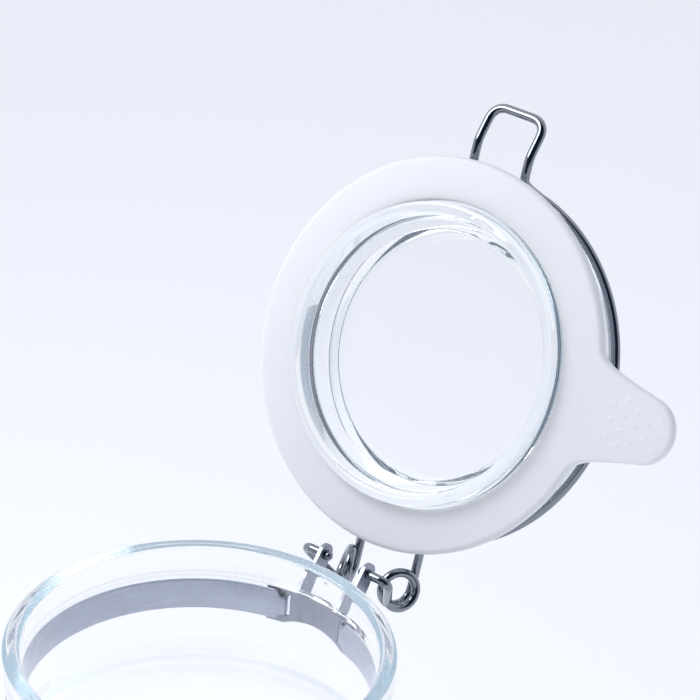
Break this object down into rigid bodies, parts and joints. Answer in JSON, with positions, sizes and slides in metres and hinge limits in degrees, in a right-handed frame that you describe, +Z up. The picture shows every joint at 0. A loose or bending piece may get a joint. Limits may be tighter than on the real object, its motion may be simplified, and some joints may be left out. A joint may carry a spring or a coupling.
{
  "type": "clip-top glass jar",
  "caption": "Round glass storage jar with a hinged glass lid, a soft tabbed seal, a wire bail hinge and an over-centre draw latch, shown open.",
  "frame": {"origin": "centre of the jar's flat base", "axes": "+Z up, +Y to the hinge at the back, +X to the side that the seal's pull tab points to; the latch is at -Y"},
  "size_m": [0.1285, 0.1869, 0.2597],
  "materials": {
    "jar_glass": "clear pressed soda-lime glass with a faint cyan edge",
    "lid_glass": "clear thick pressed glass",
    "seal": "matte translucent white silicone",
    "lid_wire": "polished stainless wire",
    "band": "satin rolled strip",
    "bracket": "satin stamped strip",
    "latch_wire": "polished stainless wire",
    "latch_pin": "satin turned pin"
  },
  "bodies": {
    "jar": {"jar_body": "jar_glass", "neck_band_left": "band", "neck_band_right": "band", "hinge_bracket": "bracket", "latch_bracket": "bracket"},
    "lid": {"lid_glass": "lid_glass", "gasket": "seal", "lid_wire": "lid_wire"},
    "lever": {"latch_lever": "latch_wire"},
    "draw_pin": {"latch_pin": "latch_pin"},
    "draw_loop": {"latch_loop": "latch_wire"}
  },
  "joints": [
    {"name": "lid_hinge", "type": "hinge", "parent": "jar", "child": "lid", "pos_m": [0, 0.0572, 0.1537], "axis": [-1, 0, 0], "range_deg": [-115.9, 0]},
    {"name": "lever_pivot", "type": "hinge", "parent": "jar", "child": "lever", "pos_m": [0, -0.0585, 0.145], "axis": [-1, 0, 0], "range_deg": [0, 150]},
    {"name": "pin_turn", "type": "hinge", "parent": "lever", "child": "draw_pin", "pos_m": [0, -0.0573, 0.135], "axis": [-1, 0, 0], "range_deg": [-150, 0]},
    {"name": "loop_swing", "type": "hinge", "parent": "draw_pin", "child": "draw_loop", "pos_m": [0, -0.0573, 0.135], "axis": [1, 0, 0], "range_deg": [-182.6, 0]}
  ],
  "couplings": [
    {"joint": "pin_turn", "follows": "lever_pivot", "ratio": -1}
  ]
}
